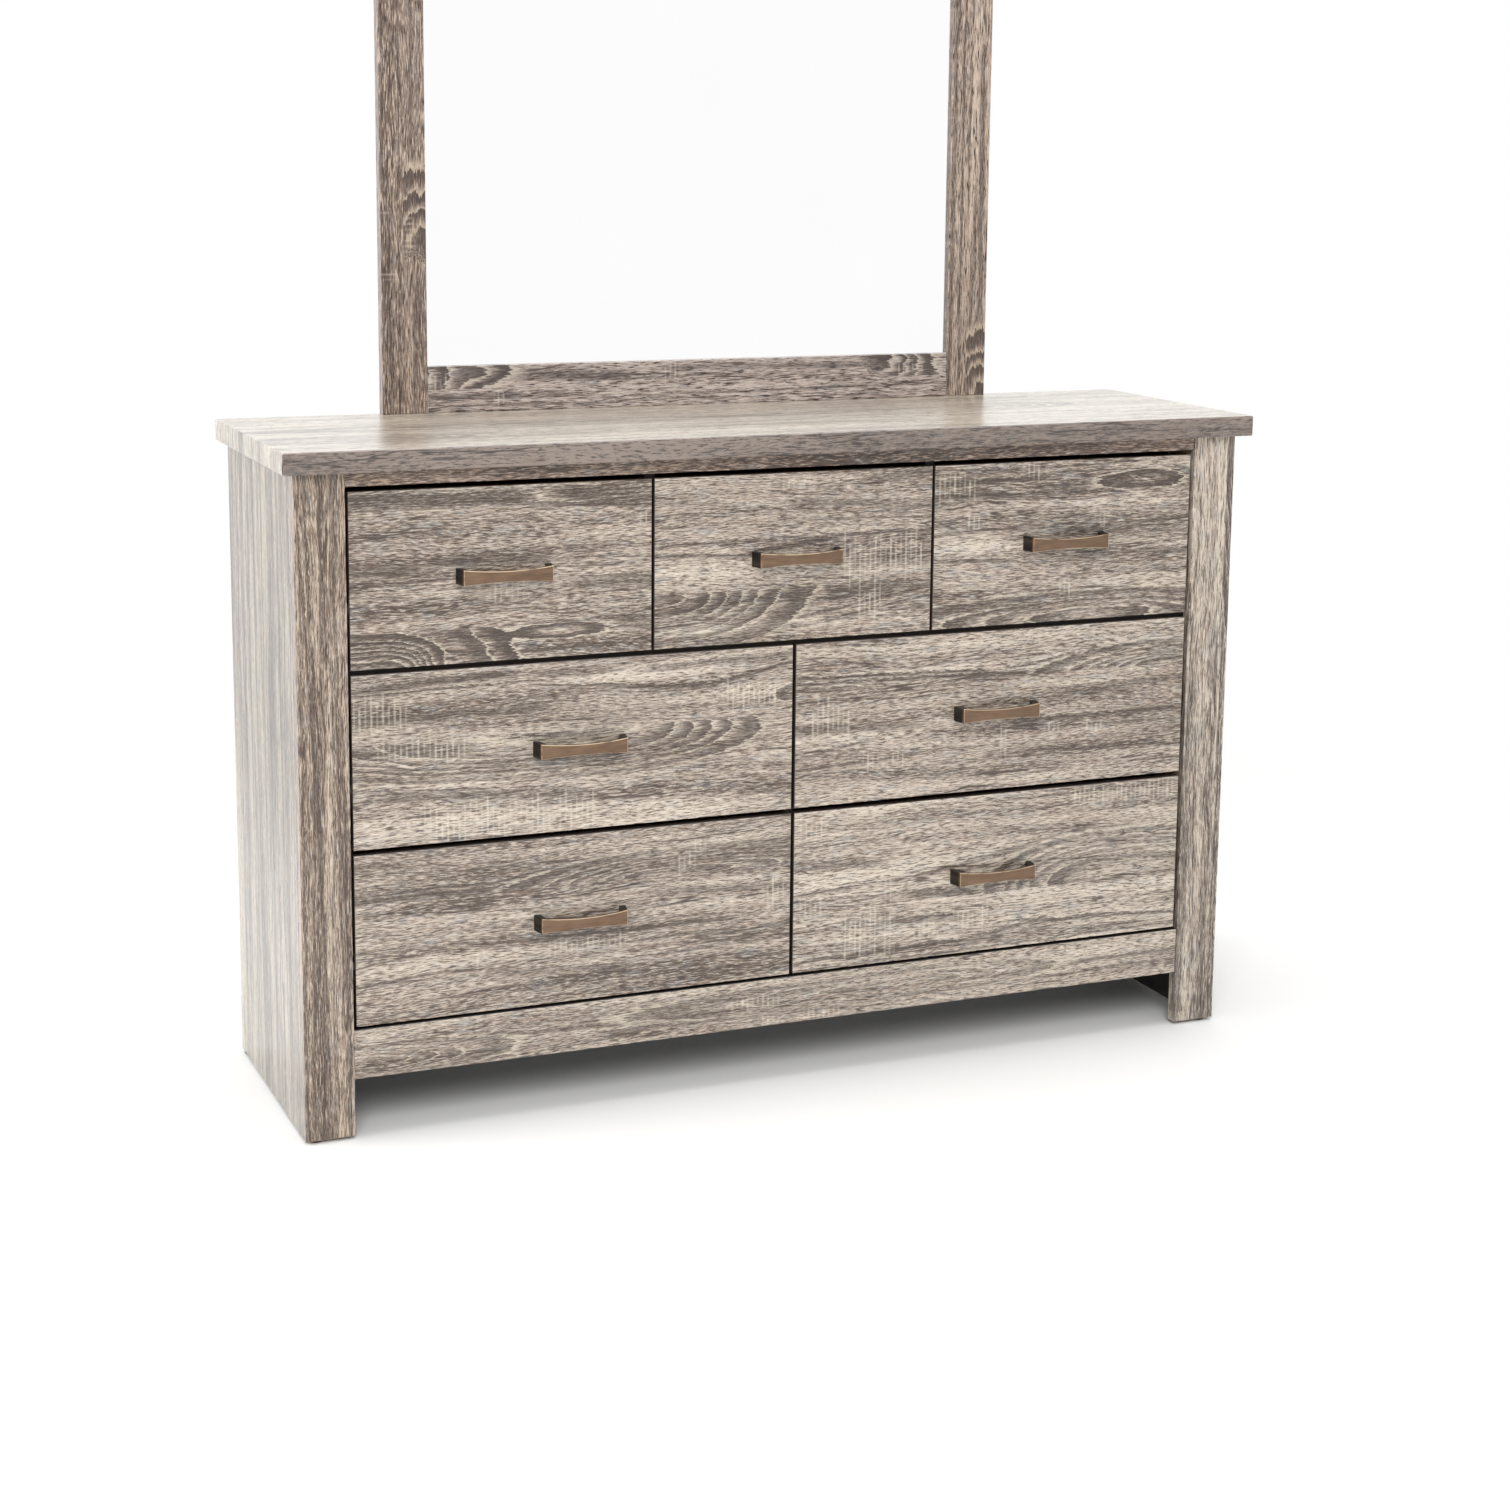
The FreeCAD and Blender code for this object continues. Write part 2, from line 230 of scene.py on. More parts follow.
oakInks = {
    "dark": paint(62, 50, 42),
    "brown": paint(110, 96, 85),
    "taupe": paint(151, 138, 126),
    "beige": paint(185, 172, 157),
    "pale": paint(214, 202, 187),
    "cool": paint(136, 141, 144),
    "rust": paint(148, 124, 108),
    "late": paint(64, 52, 45),
    "outline": paint(200, 189, 171),
    "saw": paint(218, 209, 191),
    "board": paint(30, 26, 24),
    "frontBack": paint(120, 107, 96),
    # The next two inks are painted shade: the first darkens the top and end edges of the drawer fronts in
    # their gaps, the second darkens the slab's front edge.
    "frontGapShade": paint(62, 53, 47),
    "slabEdgeShade": paint(162, 153, 154),
    "chipDark": paint(110, 84, 58),
    "chip": paint(176, 148, 114),
    "chipPale": paint(214, 192, 158),
}
groundTones = [(0.0, "dark"), (0.28, "brown"), (0.52, "taupe"), (0.76, "beige"), (1.0, "pale")]
chipTones = [(0.3, "chipDark"), (0.5, "chip"), (0.7, "chipPale")]
# Layers of the print: size in millimetres along and across the grain, layer number, detail, roughness.
oakGrain = {
    "drift": (420, 150, 0, 1.0, 0.55),
    "waver": (95, 40, 5, 1.0, 0.55),
    "fibre": (10, 1.2, 11, 3.0, 0.7),
    "grain": (34, 2.6, 17, 3.0, 0.62),
    "bands": (380, 17, 23, 2.0, 0.55),
    "blotch": (40, 11, 31, 3.0, 0.62),
    "hair": (260, 13, 41, 2.0, 0.6),
    "thread": (150, 2.6, 47, 2.0, 0.55),
    "zone": (600, 42, 53, 1.0, 0.55),
    "pore": (15, 1.7, 59, 2.0, 0.6),
}
oakBend = {"drift": 28, "waver": 8, "fray": 18, "sway": 26, "wobble": 9}  # millimetres, as in the next four
sawLine = {"pitch": 8.2, "edge": 3, "tipOut": 7, "tipIn": -5}
streakEnd = {"out": 25, "in": 35}
jointLine = {"edge": 1.1, "core": 0.5}
chipSize = (2.2, 5)
stripStep = 3.7  # layers between the strips of a board
facingShare = 0.6  # a face looks along an axis if its normal has this much of it
oakLook = {  # what each board can change
    "wrap": 1,  # the way in which the print runs on round an edge
    "light": 0.0,
    "punch": 1.0,  # contrast of the ground
    "depth": 1.0,  # strength of the flames
    "rim": 0.88,  # where a ring's pale outline starts
    "rag": 10,  # how far a flame's edge strays
    "ticks": 0.78,  # strength of the pores
    "pore": oakGrain["pore"][0],  # their length
    "sawn": 0.5,  # strength of the saw marks
    "gloss": 0.1,
    "sheen": 0.22,  # roughness of the clear coat
    # A tint multiplied over the print; on the top panel and top rail it paints light and shade.
    "stainAndPaintedLight": (255, 255, 255),
    "seams": [],
    "figures": [],
    "streaks": [],
    "saws": [],
    "shaded": [],  # faces darkened with painted shade
    "inner": [],  # faces with no print; on some edges its dark ink is painted shade in the gaps
    "raw": False,  # bare chipboard at the back
    "joint": False,  # a dark line along the back edge
}


def inkStops(tones):
    return [(place, oakInks[ink]) for place, ink in tones]


def sawMarks(wood, look, along, across, fibre):  # short pale lines left across the grain
    if not look["saws"]:
        return 0.0
    pitch = along / sawLine["pitch"]
    first, second, third = wood.chance(pitch.calc("FLOOR") + look["seed"])
    line = wood.fade(abs(pitch.calc("FRACT") - 0.5), 0.3, 0.05) + 0.06
    edge = sawLine["edge"]
    marks = []
    for start, end, low, high in look["saws"]:
        middle = (low + high) / 2 + (first - 0.5) * (high - low) * 0.4
        reach = (high - low) * (second * 0.3 + 0.24)
        tall = wood.fade(abs(across - middle) - reach, sawLine["tipOut"], sawLine["tipIn"])
        group = wood.fade(along, start - edge, start + edge) * wood.fade(along, end + edge, end - edge)
        marks.append(line * tall * group * (third * 0.6 + 0.4))
    return wood.most(marks) * wood.fade(fibre, 0.25, 0.6) * look["sawn"]


def streaks(wood, look, along, near, fibre, thread):  # dark lines that run with the grain
    out, inside = streakEnd["out"], streakEnd["in"]
    lines = []
    for start, end, startHeight, endHeight, halfWidth, strength in look["streaks"]:
        heights = {"From Min": start, "From Max": end, "To Min": startHeight, "To Max": endHeight}
        line = wood.add("ShaderNodeMapRange", {}, {"Value": along, **heights})
        gap = (near + (fibre - 0.5) * oakBend["wobble"] - line) / halfWidth
        ends = wood.fade(along, start - out, start + inside) * wood.fade(along, end + out, end - inside)
        lines.append(wood.fade(abs(gap), 1.5, 0.4) * ends * strength)
    broken = wood.fade(fibre, 0.66, 0.36) * 0.45 + 0.25 + wood.fade(thread, 0.56, 0.44) * 0.3
    return wood.most(lines) * broken


def flameRings(wood, look, rings, ragged, near, strip):  # the rings, and where they show
    reaches = []
    for middle, height, left, right, halfHeight, count, edge, lean in look["figures"]:
        aside = ragged - (near - height) * lean - middle
        aside = aside / ((aside > 0) * (right - left) + left)
        up = (near - height) / halfHeight
        away = aside * aside + up * up
        swell = (-(away ** edge)).calc("EXPONENT")
        if look["seams"]:
            ownStrip = sum(height > seam for seam in look["seams"])
            swell = swell * strip.calc("COMPARE", ownStrip, 0.5)
        rings = rings + swell * count
        reach = wood.fade(swell, 0.01, 0.05)
        if count > 2:
            reach = reach * (aside * aside / away * 0.5 + 0.5)  # rings thin out along their flanks
        reaches.append(reach)
    return rings, wood.most(reaches)


def edgeInks(wood, look, colour, spot, sides, thick):  # what the faces round the print look like, some of them darkened as painted shade
    x, y, z = spot
    for axis, way, ink in look["shaded"]:
        colour = wood.mix(colour, oakInks[ink], sides[axis] * way > facingShare, "MULTIPLY")
    for axis, way, ink in look["inner"]:
        colour = wood.mix(colour, oakInks[ink], sides[axis] * way > facingShare)
    if look["raw"]:
        chips = wood.noise(chipSize, x, z, look["seed"], 3.0, 0.7)
        colour = wood.mix(colour, wood.ramp(chips, inkStops(chipTones)), sides["y"] > facingShare)
    if look["joint"]:
        seam = wood.fade(abs(y - thick), jointLine["edge"], jointLine["core"])
        colour = wood.mix(colour, oakInks["board"], seam * 0.85)
    return colour


def oakPrint(nodeName, look):
    wood = newFinish("oak_" + nodeName)
    x, y, z = wood.place(frontMiddle(nodeName))
    sides = dict(zip("xyz", wood.facing()))
    if look["grain"] == "x":
        along, across, endAlong = x, z + y * look["wrap"], z
    else:
        along, across, endAlong = z, x + y * look["wrap"], x
    onEnd = abs(sides[look["grain"]]) > facingShare
    along = along + onEnd * (endAlong - along)
    across = across + onEnd * (y - across)

    strip = 0.0
    for seam in look["seams"]:
        strip = strip + (across > seam)
    layer = strip * stripStep + look["seed"]

    def layerOf(name, side, length=None):
        long, wide, number, detail, rough = oakGrain[name]
        return wood.noise((length or long, wide), along, side, layer + number, detail, rough)

    waver = layerOf("waver", across) - 0.5
    near = across + waver * oakBend["waver"]
    flow = near + (layerOf("drift", across) - 0.5) * oakBend["drift"]
    fibre = layerOf("fibre", flow)
    grain = layerOf("grain", flow)
    bands = layerOf("bands", flow)
    blotch = layerOf("blotch", flow)
    thread = layerOf("thread", flow)
    zone = layerOf("zone", across)
    pore = layerOf("pore", flow, look["pore"])

    hair = wood.fade(abs(layerOf("hair", flow) - 0.5), 0.02, 0.004) * wood.fade(bands, 0.56, 0.44)
    dark = streaks(wood, look, along, near, fibre, thread).calc("MAXIMUM", hair * 0.65)
    ragged = along + (fibre - 0.5) * oakBend["fray"] + waver * oakBend["sway"]
    ragged = ragged + (blotch - 0.5) * look["rag"]
    rings, figure = flameRings(wood, look, (grain - 0.5) * 0.45 + 0.72, ragged, near, strip)
    turn = rings.calc("FRACT")
    if look["figures"]:
        depth = (wood.chance(rings.calc("FLOOR") + look["seed"])[0] * 0.25 + 0.55) * look["depth"]
        latewood = wood.fade(turn, 0.84, 0.25) * figure * depth
        dark = dark.calc("MAXIMUM", latewood * (wood.fade(fibre, 0.68, 0.4) * 0.4 + 0.6))
    clear = 1 - dark

    tone = bands * 0.95 + zone * 0.95 + grain * 0.75 + thread * 0.25 + fibre * 1.8 - 2.35
    tone = tone * look["punch"] + 0.5 + look["light"]
    colour = wood.ramp(tone, inkStops(groundTones))
    colour = wood.mix(colour, oakInks["cool"], wood.fade(blotch, 0.52, 0.7) * 0.42)
    colour = wood.mix(colour, oakInks["rust"], wood.fade(blotch, 0.46, 0.3) * 0.4)
    colour = wood.mix(colour, oakInks["dark"], wood.fade(pore, 0.545, 0.62) * look["ticks"])
    colour = wood.mix(colour, oakInks["pale"], wood.fade(pore, 0.455, 0.38) * look["ticks"] * 0.7)
    colour = wood.mix(oakInks["late"], colour, clear * clear)
    if look["figures"]:
        outline = wood.fade(turn, look["rim"], 0.97) * figure * wood.fade(fibre, 0.3, 0.5)
        colour = wood.mix(colour, oakInks["outline"], outline * 0.85)
    colour = wood.mix(colour, oakInks["saw"], sawMarks(wood, look, along, across, fibre))
    colour = wood.mix(colour, paint(*look["stainAndPaintedLight"]), 1.0, "MULTIPLY")
    low, high = boxOf(nodeName)
    return wood.surface({
        "Base Color": edgeInks(wood, look, colour, (x, y, z), sides, high.y - low.y),
        "Roughness": wood.fade(fibre, 0.2, 0.8) * 0.12 + 0.34,
        "Normal": wood.bump(fibre, 0.25, 0.0004),
        "Specular IOR Level": look["gloss"],
        "Coat Weight": 1.0,
        "Coat Roughness": look["sheen"],
        "Coat IOR": 1.5,
    })


def dressOak(nodeName, look):
    dress(nodeName, oakPrint(nodeName, {**oakLook, **look}))


# Places in a print are millimetres from the middle of the board's front, along the grain and across it.
# A figure is middle, height, reach to the left and right, half height, rings, steepness, lean.
# A streak is start, end, height at each, half width, strength. A saw group is start, end, low, high.
# A seam is the height at which one strip of the print meets the next.
frontBase = {
    "grain": "x",
    # The dark ink on the top and end edges of each front is painted shade that keeps the gaps between the
    # fronts dark.
    "inner": [("y", 1, "frontBack"), ("z", 1, "frontGapShade"), ("x", 1, "frontGapShade"), ("x", -1, "frontGapShade")],
}
drawerFronts = {
    "upper_left": {
        "seed": 3.1, "light": -0.05, "seams": [-74],
        "figures": [
            (-165, -135, 500, 58, 45, 6.0, 1.6, 0), (-145, -129, 150, 152, 115, 2.0, 3, -0.45),
            (81, -85, 58, 58, 9.3, 1.22, 1, 0),
        ],
        "streaks": [
            (-240, 40, 108, 107, 10, 0.9), (-240, -20, 96, 98, 3, 0.75), (-30, 240, 100, 84, 3, 0.9),
            (70, 240, 109, 104, 9, 0.9), (90, 240, 97, 93, 5, 0.75), (-240, -110, 14, 10, 9, 0.75),
            (-240, -60, -8, -2, 2, 0.8), (-240, -140, -21, -23, 2, 0.75), (90, 240, -19, -18, 9, 0.6),
            (-120, 60, 22, 16, 6, 0.5), (150, 240, -79, -82, 9, 0.65), (20, 240, -112, -104, 2.5, 0.6),
        ],
        "saws": [(-20, 30, -40, -12), (195, 212, 58, 84)],
    },
    "upper_center": {
        "seed": 8.4, "light": 0.01, "seams": [-45], "depth": 0.9,
        "figures": [(-205, -47, 146, 146, 56, 6.5, 1.25, 0)],
        "streaks": [
            (-240, -40, 12, 5, 2.5, 0.8), (-90, 70, 6, 28, 4, 0.8), (50, 240, 29, 27, 3, 0.75),
            (-20, 240, 78, 68, 6, 0.5), (-240, -40, 24, 28, 1.8, 0.6), (50, 240, 51, 48, 1.8, 0.6),
            (45, 200, -52, -48, 6, 0.7), (-60, 240, -100, -52, 2, 0.75), (30, 240, -98, -66, 1.8, 0.7),
            (-120, 120, -118, -90, 1.8, 0.6), (20, 230, -68, -50, 3, 0.6), (-240, -100, 88, 82, 4, 0.4),
            (90, 240, -14, -16, 7, 0.4), (100, 240, 108, 112, 5, 0.5),
        ],
        "saws": [(75, 205, -44, 24), (98, 142, -98, -48), (-25, 25, 96, 118)],
    },
    "upper_right": {
        "seed": 13.7, "light": -0.03, "seams": [76],
        "figures": [(134, 88, 62, 62, 11.5, 1.22, 1, 0), (40, -117, 225, 260, 24, 4.0, 1, 0)],
        "streaks": [
            (-240, -30, 92, 99, 4, 0.9), (-240, -140, 74, 74, 4, 0.8), (-240, 120, 106, 118, 2, 0.5),
            (-160, -80, 79, 73, 4, 0.9), (-70, 45, 78, 84, 8, 0.5), (-240, -60, 17, 27, 2.5, 0.6),
            (50, 240, 17, 30, 4, 0.6), (-20, 100, 19, 14, 4, 0.65), (-220, -80, -19, -27, 3, 0.6),
            (60, 240, -18, -22, 3, 0.4), (-100, 240, 6, 9, 3, 0.4),
        ],
        "saws": [
            (-220, -150, 68, 108), (-168, -140, 22, 52), (-66, -40, 96, 120), (62, 74, 8, 52),
            (-4, 14, -84, -60),
        ],
    },
    "middle_left": {
        "seed": 21.3, "light": 0.05, "seams": [22], "depth": 0.9,
        "figures": [(0, 21, 420, 210, 50, 5.3, 2, -0.6), (332, 52, 30, 30, 10, 1.1, 1, 0)],
        "streaks": [
            (-340, -100, 101, 112, 5, 0.8), (-340, -40, 94, 98, 2, 0.7), (-60, 90, 92, 80, 2, 0.7),
            (60, 205, 80, 73, 4, 0.9), (195, 340, 73, 100, 3, 0.9), (90, 340, 100, 110, 5, 0.6),
            (-60, 60, 108, 104, 5, 0.5), (-340, -40, 55, 60, 6, 0.55), (-340, -150, 15, 11, 8, 0.75),
            (-120, -20, 20, 13, 6, 0.9), (-25, 68, 14, 16, 7, 0.7), (-310, 0, -48, -66, 8, 0.55),
        ],
        "saws": [(-324, -250, 34, 88), (-292, -160, -4, 26), (-232, 22, -120, -70), (218, 306, 38, 72)],
    },
    "middle_right": {
        "seed": 29.9, "light": 0.0, "seams": [51], "depth": 0.85,
        "figures": [(290, 53, 128, 500, 23, 6.0, 1, 1.2)],
        "streaks": [
            (-340, 0, 71, 62, 2.2, 0.9), (-340, -20, 62, 57, 3, 0.9), (-340, -230, 53, 51, 3, 0.85),
            (-70, 110, 57, 56, 5, 0.8), (10, 180, 62, 84, 2.2, 0.7), (-340, -180, -52, -24, 2.2, 0.45),
            (20, 340, -22, -18, 4, 0.7), (40, 340, -32, -38, 2, 0.5), (50, 340, -66, -76, 2.5, 0.7),
            (-340, -120, -66, -58, 2, 0.5), (-340, -120, -6, -14, 6, 0.4), (100, 340, 22, 30, 6, 0.4),
        ],
        "saws": [
            (-302, -238, -24, 30), (-216, -150, -78, -50), (8, 22, -76, -22), (86, 112, -46, -28),
            (150, 186, -50, -30),
        ],
    },
    "lower_left": {
        "seed": 31.2, "light": -0.04, "seams": [50], "depth": 0.75,
        "figures": [(110, 51, 128, 340, 22, 6.0, 1, 1.2)],
        "streaks": [
            (-340, -120, 64, 66, 1.8, 0.75), (-340, -90, 57, 56, 4, 0.85), (-150, 0, 62, 82, 2, 0.75),
            (-190, -60, 54, 52, 4, 0.7), (-150, 260, -23, -27, 2.5, 0.75), (-30, 250, -42, -43, 2, 0.55),
            (225, 290, -40, -22, 2, 0.5), (-340, -200, -41, -23, 2, 0.5), (40, 340, -70, -62, 3, 0.55),
            (-340, -150, -66, -54, 2, 0.5), (-140, 80, -66, -80, 6, 0.45), (90, 340, 26, 16, 6, 0.4),
        ],
        "saws": [
            (172, 192, 80, 98), (284, 318, -22, 24), (150, 176, 52, 78), (-158, -150, -70, -30),
            (-50, 70, -50, -32),
        ],
    },
    "lower_right": {
        "seed": 40.6, "light": 0.19, "seams": [-32], "depth": 0.8,
        "figures": [(205, -31, 167, 420, 60, 5.0, 2, 0)],
        "streaks": [
            (-340, -100, -6, 8, 2, 0.6), (-130, 70, 6, 33, 2.5, 0.6), (-340, -150, -15, -18, 2, 0.6),
            (-60, 180, 18, 58, 3, 0.45), (-340, 0, -108, -98, 3, 0.75), (-20, 80, -98, -83, 3, 0.75),
            (60, 340, -83, -97, 3, 0.75), (-340, 340, -120, -114, 2, 0.5), (-340, -180, 44, 34, 8, 0.45),
            (-140, -10, -20, -28, 6, 0.75), (-180, -40, -58, -64, 6, 0.45), (20, 320, 110, 116, 2, 0.5),
            (150, 280, -110, -107, 4, 0.55),
        ],
        "saws": [
            (-322, -276, 82, 116), (140, 322, 92, 120), (-248, -160, -102, -36), (-132, -92, -92, -66),
            (-62, 4, -84, -46), (-184, -164, -30, 30), (-322, -276, -36, -10),
        ],
    },
}
for place, look in drawerFronts.items():
    dressOak(place + "_drawer_front", {**frontBase, **look})
print("drawer fronts printed:", len(drawerFronts))


stileBase = {"grain": "z", "inner": [("y", 1, "board")], "joint": True, "pore": 26}
sideBase = {
    "grain": "z", "raw": True, "stainAndPaintedLight": (244, 245, 241),
    "light": -0.02, "punch": 1.1, "ticks": 0.6, "pore": 60,
}
sideStreaks = [  # the left panel has them the other way round
    (-500, 500, 20, 26, 4, 0.45), (-500, 300, 62, 58, 2.5, 0.55), (-300, 500, 86, 92, 6, 0.4),
    (-500, 500, 128, 122, 2.5, 0.55), (-500, 200, 150, 160, 7, 0.4), (-200, 500, 196, 190, 3, 0.5),
    (-500, 500, 238, 244, 4, 0.45), (-500, 400, 282, 280, 2.5, 0.55), (-400, 500, 318, 324, 7, 0.4),
    (-500, 500, 356, 352, 3, 0.45),
]
caseBoards = {
    "left_stile": {
        **stileBase, "wrap": -1, "seed": 51.0, "seams": [4], "light": -0.07, "stainAndPaintedLight": (255, 249, 243),
        "streaks": [
            (-490, 490, -31, -28, 1.5, 0.6), (-490, 200, -23, -12, 1.8, 0.7), (100, 490, -14, -21, 2, 0.7),
            (-210, 330, -3, -26, 1.8, 0.75), (-490, -150, -10, -2, 2, 0.7), (200, 490, -1, 1, 2.5, 0.7),
            (-300, 100, 0, -12, 1.8, 0.7), (-420, -300, 2, -3, 2, 0.7), (-490, 490, 11, 15, 1.8, 0.5),
            (-300, 490, 21, 18, 2, 0.6), (-490, 100, 29, 27, 2.5, 0.6), (-490, -100, 7, 8, 2.5, 0.5),
        ],
    },
    "right_stile": {
        **stileBase, "seed": 57.5, "seams": [23], "light": 0.06,
        "figures": [(470, 46, 190, 60, 26, 7.0, 1, -1.5)],
        "streaks": [
            (-490, 330, 26, 27, 2, 0.8), (-490, 240, 32, 31, 1.8, 0.7), (-490, 100, -32, -28, 7, 0.5),
            (-490, -200, 12, 14, 4, 0.4),
        ],
    },
    "left_side_panel": {
        **sideBase, "wrap": -1, "seed": 61.8, "inner": [("x", 1, "board")],
        "streaks": [(start, end, -low, -high, *rest) for start, end, low, high, *rest in sideStreaks],
    },
    "right_side_panel": {**sideBase, "seed": 66.1, "inner": [("x", -1, "board")], "streaks": sideStreaks},
    "top_panel": {
        # Its raised light and greenish tint paint the pale reflected light of the top into the print; its
        # darker front edge is painted shade.
        "grain": "x", "seed": 71.4, "raw": True, "light": 0.33, "stainAndPaintedLight": (250, 252, 249), "depth": 0.55,
        "sheen": 0.25, "gloss": 0.5, "sawn": 0.2, "shaded": [("y", -1, "slabEdgeShade")],
        "figures": [(-600, 140, 420, 110, 30, 4.0, 1.6, -0.5), (340, 260, 800, 170, 42, 5.0, 1.6, 0.6)],
        "saws": [(-420, -330, -16, 12), (-300, -180, -18, 14), (-60, 20, -14, 16), (560, 640, -16, 12)],
    },
    "top_rail": {
        # Its low light and darker tint paint the shade under the slab's overhang into the print.
        "grain": "x", "seed": 77.2, "inner": [("y", 1, "board")], "light": -0.29, "stainAndPaintedLight": (232, 220, 214),
    },
    "bottom_rail": {
        "grain": "x", "seed": 83.9, "light": 0.09, "depth": 0.5,
        # Its top face takes the near-black board ink as painted shade, so the gap above the rail reads
        # dark.
        "inner": [("y", 1, "board"), ("z", 1, "board")],
        "figures": [(-640, -14, 200, 130, 16, 4.0, 1, 0), (200, 4, 300, 160, 15, 3.0, 1, 0)],
        "streaks": [
            (-520, -80, 4, -10, 3, 0.6), (-300, 100, -14, -20, 3, 0.5), (270, 680, -4, 6, 3, 0.6),
            (-420, 60, 14, 8, 2, 0.55), (-80, 300, 18, 22, 2, 0.5), (120, 640, -18, -12, 2, 0.55),
        ],
        "saws": [(20, 80, -36, -18), (-52, -16, -36, -20), (-96, -16, -6, 12)],
    },
}
for name, look in caseBoards.items():
    dressOak(name, look)
print("case boards printed:", len(caseBoards))


frameBase = {
    "light": 0.02, "punch": 0.5, "ticks": 1.0, "pore": 20, "depth": 1.1, "rag": 40, "rim": 0.7,
    "stainAndPaintedLight": (240, 230, 226), "raw": True, "seams": [0],
}
mirrorFrame = {
    "mirror_left_stile": {
        "grain": "z", "wrap": -1, "seed": 91.3, "light": -0.09,
        "figures": [(-215, 36, 12, 92, 54, 3.6, 1.5, -0.3)],
        "streaks": [
            (-335, -245, 20, 24, 6, 0.7), (-450, -300, 14, 16, 2.5, 0.6), (-450, 300, -8, -4, 1.6, 0.6),
            (-450, -100, -20, -24, 2.5, 0.5), (-300, 450, -28, -30, 1.6, 0.55),
            (-60, 450, 12, 20, 2.5, 0.5),
        ],
        "saws": [(-158, -150, -34, -18), (-250, -240, -34, -10), (-212, -150, 2, 18)],
    },
    "mirror_right_stile": {
        "grain": "z", "seed": 95.8, "light": 0.13,
        "figures": [(-472, 36, 12, 92, 54, 3.6, 1.5, -0.3)],
        "streaks": [
            (-340, 100, 24, 20, 5, 0.6), (-450, 300, -30, -28, 4, 0.55), (-450, 450, -12, -16, 2, 0.6),
            (-340, -120, 8, 12, 3, 0.6), (-160, 450, -2, 2, 2, 0.55),
        ],
    },
    "mirror_bottom_rail": {
        "grain": "x", "seed": 99.4, "light": 0.08, "stainAndPaintedLight": (246, 245, 253),
        "figures": [
            (-474, 30, 60, 90, 54, 3.6, 1.5, -0.4), (-352, 26, 34, 44, 15, 1.1, 1, 0),
            (292, 30, 8, 86, 54, 3.6, 1.5, -0.4),
        ],
        "streaks": [
            (-350, -120, 20, 14, 7, 0.7), (-200, 60, 8, 12, 2, 0.6), (-450, -180, -10, -12, 4, 0.5),
            (-60, 300, 24, 20, 4, 0.5), (-100, 420, -18, -12, 2, 0.5), (-420, 40, -26, -24, 2, 0.5),
        ],
        "saws": [(-452, -400, 2, 22), (-330, -310, -30, -8), (-60, -30, 6, 30), (345, 392, 2, 20)],
    },
    "mirror_top_rail": {
        "grain": "x", "seed": 104.2,
        "figures": [(60, 30, 8, 90, 54, 3.6, 1.5, -0.4)],
        "streaks": [
            (-230, 40, 18, 12, 7, 0.65), (-430, 200, -12, -16, 3, 0.55), (150, 430, 10, 14, 4, 0.55),
        ],
    },
}
for name, look in mirrorFrame.items():
    dressOak(name, {**frameBase, **look})
print("mirror frame printed:", len(mirrorFrame))


# Pairs in the looks below are sizes in millimetres, along and across.
frameOrigin = (0, 0, 0)
boardCloud = (140, 90)
plainBoards = {
    "dark_board": {"ink": (34, 29, 27), "contrast": 0.3, "grain": (60, 3.6), "roughness": 0.5},
    "drawer_foil": {"ink": (150, 139, 126), "contrast": 0.12, "grain": (80, 4.8), "roughness": 0.42},
}


def plainBoard(name):  # foil with a fine direction
    look = plainBoards[name]
    board = newFinish(name)
    x, y, z = board.place(frameOrigin)
    grain = board.noise(look["grain"], x + y, z, 2.0, 3.0, 0.6)
    cloud = board.noise(boardCloud, x + y, z, 6.0)
    shade = board.fade(grain * 0.6 + cloud * 0.4, 0.3, 0.7, "LINEAR")
    dark = paint(*[value * (1 - look["contrast"]) for value in look["ink"]])
    light = paint(*[value * (1 + look["contrast"]) for value in look["ink"]])
    return board.surface({
        "Base Color": board.mix(dark, light, shade),
        "Roughness": shade * 0.15 + look["roughness"],
        "Normal": board.bump(grain, 0.15, 0.0003),
        "Specular IOR Level": 0.35,
    })


hardboardLook = {
    "fleck": (3.5, 3.5),
    "cloud": (60, 60),
    "inks": [(0.32, paint(78, 56, 40)), (0.5, paint(116, 88, 64)), (0.68, paint(150, 121, 92))],
}


def hardboard(name):
    board = newFinish(name)
    x, y, z = board.place(frameOrigin)
    fleck = board.noise(hardboardLook["fleck"], x + y, z + y, 1.0, 4.0, 0.7)
    cloud = board.noise(hardboardLook["cloud"], x + y, z + y, 3.0, 3.0)
    return board.surface({
        "Base Color": board.ramp(fleck * 0.7 + cloud * 0.3, hardboardLook["inks"]),
        "Roughness": board.fade(cloud, 0.3, 0.7) * 0.2 + 0.5,
        "Normal": board.bump(fleck, 0.2, 0.0003),
    })


pineLook = {
    "ring": 7,
    "bend": (220, 40),
    "fibre": (40, 1.5),
    "early": paint(214, 184, 140),
    "late": paint(176, 132, 86),
    "dark": paint(150, 112, 72),
}


